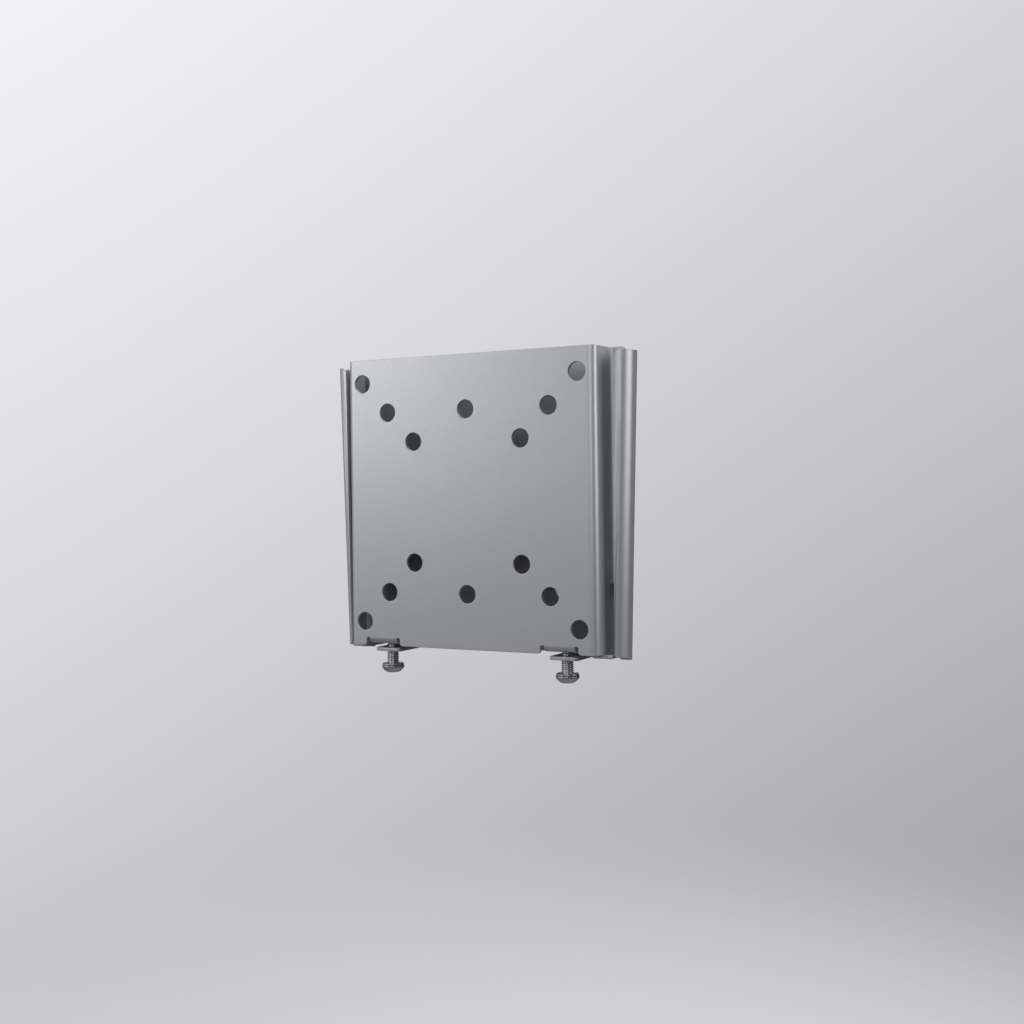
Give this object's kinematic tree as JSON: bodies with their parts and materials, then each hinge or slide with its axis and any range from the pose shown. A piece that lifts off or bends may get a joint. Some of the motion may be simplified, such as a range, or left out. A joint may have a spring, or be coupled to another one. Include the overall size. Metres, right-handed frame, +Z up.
{
  "type": "fixed monitor wall mount",
  "caption": "Low-profile fixed monitor wall mount: a folded plate with square screw patterns slides down into a tapered wall plate and is locked by screws from below.",
  "frame": {"origin": "centre of the wall plate's back face, on the wall", "axes": "+Z up, +Y into the wall, the monitor is on the -Y side, +X to the right seen from the front"},
  "size_m": [0.1376, 0.0205, 0.1318],
  "materials": {
    "silver_coat": "satin metallic silver powder coat on sheet steel",
    "screw_plating": "bright nickel plating on steel",
    "zinc_plating": "clear zinc plating on steel"
  },
  "bodies": {
    "wall": {"wall_plate": "silver_coat"},
    "monitor": {"monitor_plate": "silver_coat", "press_nut_left": "zinc_plating", "press_nut_right": "zinc_plating"},
    "left_washer": {"screw_washer_left": "zinc_plating"},
    "left_screw": {"locking_screw_left": "screw_plating"},
    "right_washer": {"screw_washer_right": "zinc_plating"},
    "right_screw": {"locking_screw_right": "screw_plating"}
  },
  "joints": [
    {"name": "plate_lift", "type": "slide", "parent": "wall", "child": "monitor", "axis": [0, 0, 1], "range_m": [0, 0.1]},
    {"name": "left_screw_travel", "type": "slide", "parent": "wall", "child": "left_washer", "axis": [0, 0, 1], "range_m": [-0.0068, 0.0052]},
    {"name": "left_screw_turn", "type": "hinge", "parent": "left_washer", "child": "left_screw", "pos_m": [-0.0411, -0.013, -0.0679], "axis": [0, 0, 1], "range_deg": [-3061, 2341]},
    {"name": "right_screw_travel", "type": "slide", "parent": "wall", "child": "right_washer", "axis": [0, 0, 1], "range_m": [-0.0068, 0.0052]},
    {"name": "right_screw_turn", "type": "hinge", "parent": "right_washer", "child": "right_screw", "pos_m": [0.0411, -0.013, -0.0679], "axis": [0, 0, 1], "range_deg": [-3061, 2341]}
  ],
  "couplings": [
    {"joint": "left_screw_turn", "follows": "left_screw_travel", "rad_per_m": 7854},
    {"joint": "right_screw_turn", "follows": "right_screw_travel", "rad_per_m": 7854}
  ]
}
